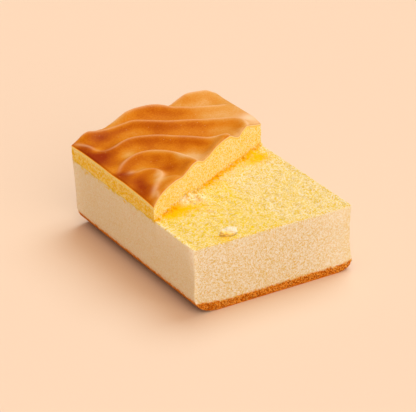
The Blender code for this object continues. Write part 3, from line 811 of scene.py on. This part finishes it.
def makeSlab(crumb):
    columns, rows, levels = slab["columns"], slab["rows"], slab["wallLevels"]
    places, lid, walls, _ = wrappedBlock(columns, rows, levels)
    across, share, level = places.T
    top = cake["slabHeight"]
    z = top * (1.0 - level / levels)
    leftIn, rightIn = profileAt(slab["leftWall"], z), profileAt(slab["rightWall"], z)
    x = leftIn + (cake["width"] - rightIn - leftIn) * across
    y = backLine(x, z) * share
    toStep = stepLine(x) - y
    bare = ease(toStep / 2.0)
    onTop = level == 0
    bareTop = onTop * bare
    fromFront, fromLeft, fromRight = y, x, cake["width"] - x
    flat, solid = np.column_stack((x, y, 0.0 * x)), np.column_stack((x, y, z))
    torn = np.zeros(len(x))
    torn[onTop] = [noise.fractal(Vector(point), 0.9, 2.0, 2)
                   for point in flat[onTop] * slab["dipSpread"]]
    # on the top: ragged edges, clumps of crumb and fine shreds
    ragged = blotchesOn(onTop, flat, 1.7, 2.0)
    clumps = blotchesOn(onTop, flat, 0.9, 6.0)
    fluff = blotchesOn(onTop, flat * (1.0, 0.7, 1.0), 0.55, 3.0)
    # on the walls: uneven edges, streaks along the layers and fine flecks
    uneven = blotchesOn(~onTop, solid, 1.8)
    streaks = blotchesOn(~onTop, solid * (1.0, 0.35, 1.0), 1.1, 7.0)
    flecks = blotchesOn(~onTop, solid, 0.8, 3.0)
    inside = ease(fromLeft / 3.0) * ease(fromRight / 3.0) * ease(fromFront / 3.0)
    z = z - bareTop * inside * slab["dipDepth"] * ease(0.5 + torn)
    z = z - bareTop * inside * sum(spotsAt(slab["dips"], x, y))
    # the crevice along the step's foot, torn deeper here and shallower there
    grooveAt, grooveWidth, grooveDepth = slab["groove"]
    groove = hump(toStep - grooveAt - 1.5 * ragged, grooveWidth) * ease(0.75 + 0.9 * ragged)
    groove = groove * onTop * ease(fromLeft / 2.0) * ease(fromRight / 2.0)
    z = z - grooveDepth * groove
    # torn crumb heaped against the step and lying before it
    piled = profileAt(slab["footRise"], x) * hump(toStep, 1.5) * ease(0.8 + ragged)
    heaps = sum(spotsAt(slab["heaps"], x, y))
    heaped = np.minimum(heaps, 1.0)
    against = hump(toStep, 0.9)
    z = z + onTop * ease((toStep + 3.0) / 2.0) * (
        piled + heaps * ease(0.7 + ragged) + heaped * fluff + 0.3 * piled * clumps
        + against * (1.3 * clumps + 0.7 * ragged))
    # rounded edges round the bare top
    reach = slab["edgeRound"]
    edgeDistance = np.minimum.reduce((fromFront, fromLeft * 1.8, fromRight))
    z = z - bareTop * 0.4 * reach * hump(edgeDistance, reach * 0.6)
    z = z + bareTop * 0.35 * hump(edgeDistance, 1.0) * clumps
    drawnIn = 0.4 * reach * hump(top - z, reach * 0.6) * (1.0 + 0.8 * flecks)
    outX = (across == 1.0).astype(float) - 0.6 * (across == 0.0)
    cornerReach = slab["cornerRound"]
    atFront = share == 0.0
    alongFront = np.minimum(fromLeft, fromRight)
    nibbled = 0.5 * cornerReach * (1.0 + 0.9 * flecks)    # the upright corners crumble a little
    x = x - drawnIn * outX * bare - outX * nibbled * hump(y, cornerReach)
    y = y + (drawnIn + nibbled * hump(alongFront, cornerReach)) * atFront
    points = np.column_stack((x, y, z))

    depth = top - z
    onFront, onBack, onLeft, onRight = (
        ~onTop & side for side in (share == 0.0, share == 1.0, across == 0.0, across == 1.0))
    craggy = ease((x - slab["coarseFrom"] + 4.0) / 8.0)
    yolk = np.where(onTop, 1.0 - 0.3 * craggy, 0.0)
    frontFade = 0.8 * ease((0.9 + 0.7 * uneven + 0.6 * flecks + 0.5 * across - depth) / 1.6)
    rightTint = 0.35 * ease((x - 67.0 + 3.0 * uneven) / 4.0) * ease(z / 5.0)
    yolk = np.where(onFront, np.maximum(frontFade, rightTint), yolk)
    sideFade = ease((1.2 + 3.0 * streaks + 1.2 * flecks - depth) / 1.8) * (1.0 - bare)
    edgeFade = ease((0.8 + 0.4 * uneven - depth) / 0.8)
    yolk = np.where(onLeft | onRight | onBack, np.maximum(sideFade, edgeFade * bare), yolk)
    yolk = np.where(onLeft, np.maximum(yolk, 0.12), yolk)
    yolk = np.where(onRight, np.maximum(yolk, 0.3 + 0.2 * uneven), yolk)
    onEnd = onFront | onBack
    crustHeight = np.where(onLeft, slab["crustLeft"], slab["crustRight"])
    (leftRise, leftReach), (rightRise, rightReach) = slab["crustRise"]
    crustHeight[onEnd] = (slab["crustFront"] + leftRise * hump(x, leftReach)
                          + rightRise * hump(cake["width"] - x, rightReach))[onEnd]
    baked = ease((crustHeight + 0.5 * uneven + 0.4 * flecks - z) / 1.6 + 0.5) * ~onTop
    nearStep = hump(toStep - 0.4, 2.2)
    moistAndShade = (onTop * sum(spotsAt(slab["moistPatches"], x, y))
             + 0.5 * sideFade * onLeft * ease(0.5 + flecks))
    atJoint = hump(depth, 0.6) * (1.0 - bare)
    # the raised crumbs along the foot stay pale
    between = ease(0.8 - 1.2 * clumps)
    footLine = profileAt(skin["footLine"], x)
    # painted shade: deep yellow in the groove along the step's foot, spreading onto the top beside
    # it
    foot = groove * footLine * between
    dampAndShade = (0.2 + 0.7 * footLine) * hump(toStep - 0.4, 1.6) * (
        ease(0.8 + ragged) * (0.3 + 0.7 * between))
    # paler along the cut edges, where crumbs are heaped and towards the front's right: partly
    # dried crumb, partly painted light where the edges and the front's right catch the light
    topCorner = 0.9 * hump(y, 3.5) * hump(depth, 9.0) + 0.35 * hump(depth, 5.0) * bare
    backEdge = 0.35 * hump(backLine(x, z) - y, 6.0)
    driedAndLit = np.where(onLeft, (topCorner + backEdge) * ease(0.8 + flecks), 0.0)
    # on the front: paler at the upright left edge and towards the right; the rise to the right is
    # painted light
    frontPale = (0.5 * hump(x, 1.5) * ease(0.5 + 1.2 * flecks) + 0.1 * hump(depth - 3.0, 3.0)
                 + 0.3 * ease((x - 45.0) / 25.0))
    driedAndLit = np.where(onFront, frontPale, driedAndLit)
    driedAndLit = np.where(onTop, np.maximum(
        0.7 * bare * hump(fromLeft, 1.2) * ease(0.5 + 1.5 * clumps),
        np.maximum(0.8 * heaped * ease(0.7 + 1.2 * fluff), 0.5 * against * ease(clumps))), driedAndLit)
    fields = {
        "yolk": yolk,
        # deeper yellow: damp patches and the band on the long side, and painted shade along the
        # step's foot and under heaped crumbs; the crevice colour is painted shade in the foot's
        # groove and between the heaped shreds
        "moistAndShade": np.clip(moistAndShade + 0.7 * foot + onTop * (dampAndShade + 0.5 * heaped), 0.0, 1.0),
        "creviceShade": np.clip(foot + onTop * 0.7 * heaped * ease(0.1 - 1.2 * fluff), 0.0, 1.0),
        "driedAndLit": driedAndLit,
        "baked": baked,
        "scorched": onLeft * ease((slab["scorchedBelow"] - z) / 1.4),
        "openness": np.where(onLeft, 0.3, np.where(onTop, 1.5 + craggy, 0.9))
        * ease(z / 0.6) * (1.0 - atJoint),
        "torn": bareTop * (0.15 + 0.6 * np.maximum(craggy, 0.8 * nearStep)),
        "loose": bareTop * (0.5 + 0.5 * craggy),
        "atFoot": onTop * hump(toStep - 0.5, 0.9) * ease(0.3 + 1.3 * ragged),
        "heaped": bareTop * heaped * ease(0.3 + fluff),
    }
    # the lid is left open under the skin layer and closed with one flat face
    shown = y[lid[..., 0]] < stepLine(x[lid[..., 0]]) + 1.5
    faces = np.vstack((lid[shown], walls))
    block = makeMesh("spongeSlab", points, faces, fields)
    print("slab", len(faces), "faces")
    return runNodeTree(block, reliefTree, {**slab["relief"], "Crumb": crumb, "Skin": crumb})


crumbs = {
    # pale crumbs that lie flat on the torn top, larger ones along the step's foot, and the
    # shreds of the heaps before it
    "scatters": (
        {"Field": "loose", "Per Square Metre": 4.0e5, "Smallest": 0.15 * mm,
         "Largest": 0.36 * mm, "Flatness": 0.45, "Seed": 4},
        {"Field": "atFoot", "Per Square Metre": 1.6e6, "Smallest": 0.3 * mm,
         "Largest": 0.8 * mm, "Flatness": 0.8, "Seed": 9},
        {"Field": "heaped", "Per Square Metre": 1.5e6, "Smallest": 0.4 * mm,
         "Largest": 0.95 * mm, "Flatness": 0.65, "Seed": 12},
    ),
    "looseCrumb": (19.0, 5.4, 28.7),      # the one larger crumb that lies near the front
    "looseCrumbSize": (3.7, 2.3, 1.6),    # half its length, depth and height
    "relief": {"Grain Spacing": 0.85 * mm, "Gap Depth": 0.2 * mm, "Crag Width": 1.2 * mm,
               "Crag Depth": 0.1 * mm, "Crag Stretch": 1.0},
}


def makeFineCrumbs(carrier, crumb):
    # the scatters over the slab's top are joined into one piece
    edit = bmesh.new()
    for scatter in crumbs["scatters"]:
        scattered = addObject("looseCrumbs", carrier.data.copy())
        runNodeTree(scattered, scatterTree, {**scatter, "Crumb": crumb})
        edit.from_mesh(scattered.data)
        bpy.data.objects.remove(scattered)
    mesh = meshFrom(edit, "looseCrumbs")
    mesh.materials.append(crumb)
    print("loose crumbs", len(mesh.polygons), "faces")
    return addObject("looseCrumbs", mesh)


def makeLooseCrumb(crumb):
    edit = bmesh.new()
    bmesh.ops.create_icosphere(edit, subdivisions=5, radius=1.0)
    ball = np.array([vert.co for vert in edit.verts])
    faces = np.array([[vert.index for vert in face.verts] for face in edit.faces])
    edit.free()
    lumps = 1.0 + 0.28 * blotches(ball, 0.6, 3.0) + 0.14 * blotches(ball, 0.28, 5.0)
    points = ball * lumps[:, None] * crumbs["looseCrumbSize"] + crumbs["looseCrumb"]
    flat = np.zeros(len(points))
    # painted shade: its left side, turned from the light, is coloured deeper yellow
    towardsLeft = (crumbs["looseCrumb"] - points).sum(axis=1)
    leftShade = ease(towardsLeft / 3.0)
    fields = {"yolk": 0.05 + 0.95 * leftShade, "moistAndShade": 0.25 * leftShade, "driedAndLit": 0.15 - 0.1 * leftShade,
              "openness": flat + 0.5, "torn": flat + 0.2}
    piece = makeMesh("tornCrumb", points, faces, fields)
    return runNodeTree(piece, reliefTree, {**crumbs["relief"], "Crumb": crumb, "Skin": crumb})


photoView = {
    # camera place in slice widths from the front left corner, and its turn in radians:
    # to the right, downwards, and round its own axis
    "place": (-6.11392, -10.32035, 6.68297),
    "turn": (0.5413428, 0.4657943, -0.0128012),
    "focalPixels": 2600.0,    # focal length in the photograph's pixels
    "widthPixels": 416.0,
}


def makeCamera():
    camera = bpy.data.cameras.new("photoCamera")
    holder = addObject("photoCamera", camera)
    yaw, pitch, roll = photoView["turn"]
    turn = (Matrix.Rotation(-yaw, 4, "Z") @ Matrix.Rotation(math.pi / 2.0 - pitch, 4, "X")
            @ Matrix.Rotation(roll, 4, "Z"))
    place = Vector(photoView["place"]) * cake["width"] * mm
    turn.translation = place + Vector((cadLow.x, cadLow.y, 0.0))
    holder.matrix_world = turn
    camera.lens = photoView["focalPixels"] / photoView["widthPixels"] * camera.sensor_width
    bpy.context.scene.camera = holder


# two soft lights as (way the light travels, strength, sRGB colour, width in radians)
lights = {
    "key": ((-0.52, -0.28, -0.90), 1.97, "#DFF7FE", 0.75),
    "front": ((0.10, 0.80, -0.58), 1.36, "#FFF4DE", 1.0),
}
surround = {"fillColour": "#FFCEA9", "fillStrength": 0.63, "floorColour": "#E6D1BE"}


def makeStage():
    for name, (way, strength, colour, width) in lights.items():
        lamp = bpy.data.lights.new(name, "SUN")
        lamp.energy = strength
        lamp.color = linear(colour)[:3]
        lamp.angle = width
        holder = addObject(name, lamp)
        holder.rotation_euler = Vector(way).to_track_quat("-Z", "Y").to_euler()

    world = bpy.data.worlds.new("softFill")
    bpy.context.scene.world = world
    world.use_nodes = True
    tree = world.node_tree
    setInputs(tree, tree.nodes["Background"], {"Color": linear(surround["fillColour"]),
                                               "Strength": surround["fillStrength"]})

    card, tree, shader, *_ = newMaterial("mattPaper")
    setInputs(tree, shader, {"Base Color": linear(surround["floorColour"]), "Roughness": 0.95,
                             "Specular IOR Level": 0.1})
    edit = bmesh.new()
    bmesh.ops.create_grid(edit, x_segments=1, y_segments=1, size=4.0)
    mesh = meshFrom(edit, "floor")
    mesh.materials.append(card)
    floor = addObject("floor", mesh)
    bpy.context.scene.view_settings.view_transform = "Standard"


slabCrumb = spongeCrumb("whiskedSpongeCrumb", "yellow")
layerCrumb = spongeCrumb("yolkRichCrumb", "yolkRich")
paleCrumb = driedCrumb()
eggSkin = bakedEggSkin()
reliefTree = crumbReliefTree()
scatterTree = crumbScatterTree()
skinLayer = makeSkinLayer(layerCrumb, eggSkin)
spongeSlab = makeSlab(slabCrumb)
fineCrumbs = makeFineCrumbs(spongeSlab, paleCrumb)
looseCrumb = makeLooseCrumb(layerCrumb)
for piece, slot in ((skinLayer, "browned_skin"), (spongeSlab, "pale_sponge"),
                    (fineCrumbs, "pale_sponge"), (looseCrumb, "pale_sponge")):
    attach(piece, "root")
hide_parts("tiger_skin")
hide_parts("sponge_slab")
makeStage()
makeCamera()

print("stage done")
